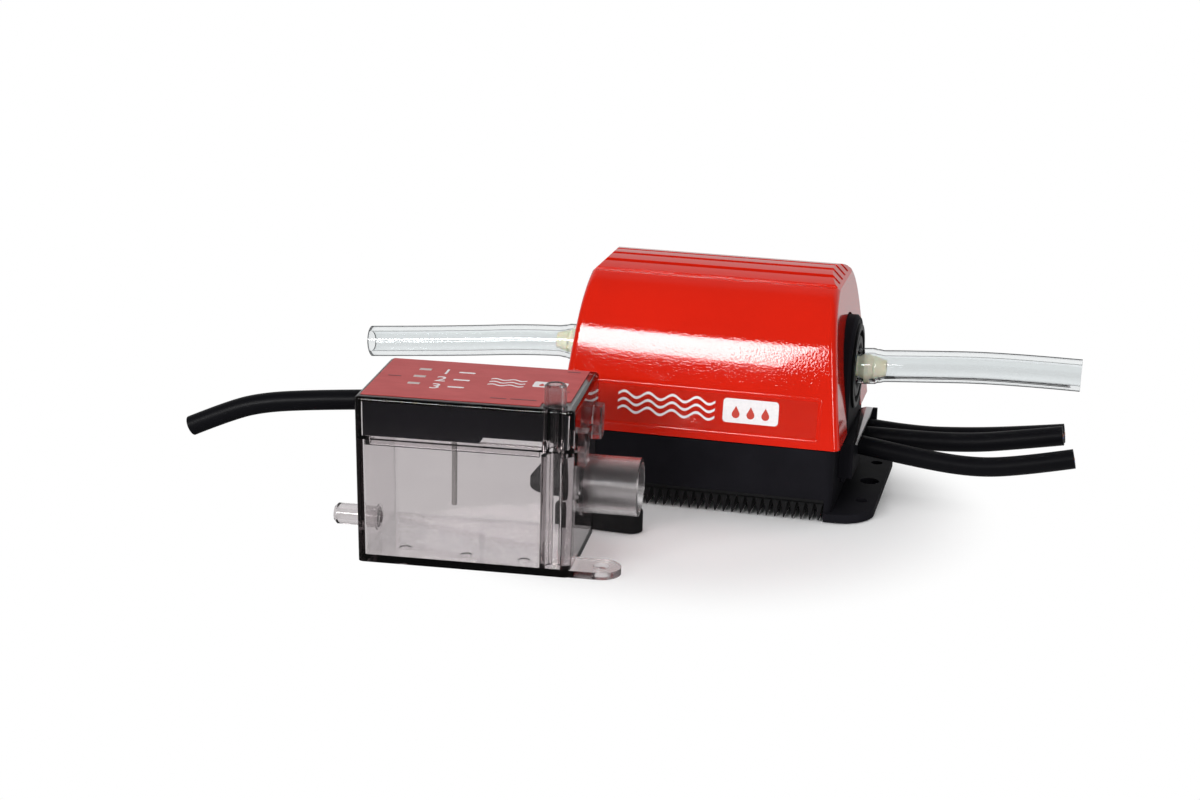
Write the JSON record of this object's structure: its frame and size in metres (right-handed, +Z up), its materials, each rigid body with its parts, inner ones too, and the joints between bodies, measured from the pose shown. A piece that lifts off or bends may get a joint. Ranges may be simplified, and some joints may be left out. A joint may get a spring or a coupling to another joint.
{
  "type": "condensate pump",
  "caption": "Mini condensate pump: ribbed base, arched cover, solenoid pump with hose tubes and cables, beside its clear sensing reservoir.",
  "frame": {"origin": "on the standing surface, at the centre of the base's four outer mounting holes", "axes": "+Z up, +X along the pump towards its outlet and cable end, -Y towards the reservoir"},
  "size_m": [0.2431, 0.1388, 0.0681],
  "materials": {
    "tray_plastic": "satin black ABS, finely grained",
    "pad_rubber": "soft black rubber",
    "grommet_rubber": "black rubber",
    "nylon": "natural nylon, slightly translucent",
    "stainless": "bright drawn stainless",
    "magnet_steel": "plain pressed steel",
    "spring_wire": "bright spring wire",
    "bobbin_plastic": "glass-filled nylon",
    "copper_winding": "enamelled copper wire",
    "circuit_board": "green solder mask",
    "chip_black": "black mould compound",
    "terminal_green": "green terminal plastic",
    "screw_steel": "zinc plated",
    "clamp_strip": "bright zinc plated strip",
    "cable_jacket": "shiny black PVC",
    "red_shell": "glossy red, light orange peel",
    "clear_film": "clear sticker film",
    "clear_vinyl": "clear vinyl",
    "smoke_plastic": "smoky clear polycarbonate",
    "potting_resin": "black potting resin",
    "label_red": "matt printed film",
    "core_insulation": "blue PVC insulation",
    "lens_clear": "frosted window"
  },
  "bodies": {
    "base": {"base_tray": "tray_plastic", "cable_clamp": "tray_plastic", "rib_pad": "pad_rubber", "rear_bumper": "pad_rubber", "inlet_grommet": "grommet_rubber", "outlet_grommet": "grommet_rubber", "cylinder_seals": "grommet_rubber", "inlet_fitting": "nylon", "outlet_fitting": "nylon", "pump_cylinder": "stainless", "pole_sleeves": "magnet_steel", "solenoid_yoke": "magnet_steel", "return_spring": "spring_wire", "buffer_spring": "spring_wire", "valve_spring": "spring_wire", "coil_bobbin": "bobbin_plastic", "coil_winding": "copper_winding", "thermal_cutout": "chip_black", "terminal_board": "circuit_board", "terminal_block": "terminal_green", "terminal_screws": "screw_steel", "board_screws": "screw_steel", "core_wires": "core_insulation", "coil_leads": "core_insulation", "clamp_plate": "clamp_strip", "cable_tails": "cable_jacket", "inlet_tube": "clear_vinyl", "outlet_tube": "clear_vinyl", "supply_cable": "cable_jacket", "alarm_cable": "cable_jacket", "signal_cable": "cable_jacket", "tank": "smoke_plastic"},
    "cover": {"pump_cover": "red_shell", "cover_label": "clear_film"},
    "plunger": {"plunger": "stainless", "plunger_valve": "grommet_rubber"},
    "outlet_valve": {"outlet_valve": "grommet_rubber"},
    "lid": {"tank_lid": "smoke_plastic", "sensor_board": "circuit_board", "board_parts": "chip_black", "status_leds": "lens_clear", "potting_block": "potting_resin", "level_probe": "stainless", "lid_label": "label_red", "led_lenses": "lens_clear", "cable_bush": "grommet_rubber", "sensor_cable": "cable_jacket"}
  },
  "joints": [
    {"name": "cover_lift", "type": "slide", "parent": "base", "child": "cover", "axis": [0, 0, 1], "range_m": [0, 0.06]},
    {"name": "lid_lift", "type": "slide", "parent": "base", "child": "lid", "axis": [0, 0, 1], "range_m": [0, 0.04]},
    {"name": "plunger_slide", "type": "slide", "parent": "base", "child": "plunger", "axis": [1, 0, 0], "range_m": [-0.003, 0.003], "stiffness_N_per_m": 600, "deforming": ["return_spring", "buffer_spring"]},
    {"name": "outlet_valve_lift", "type": "slide", "parent": "base", "child": "outlet_valve", "axis": [1, 0, 0], "range_m": [0, 0.001], "stiffness_N_per_m": 150, "springref_m": -0.001, "deforming": ["valve_spring"]}
  ]
}
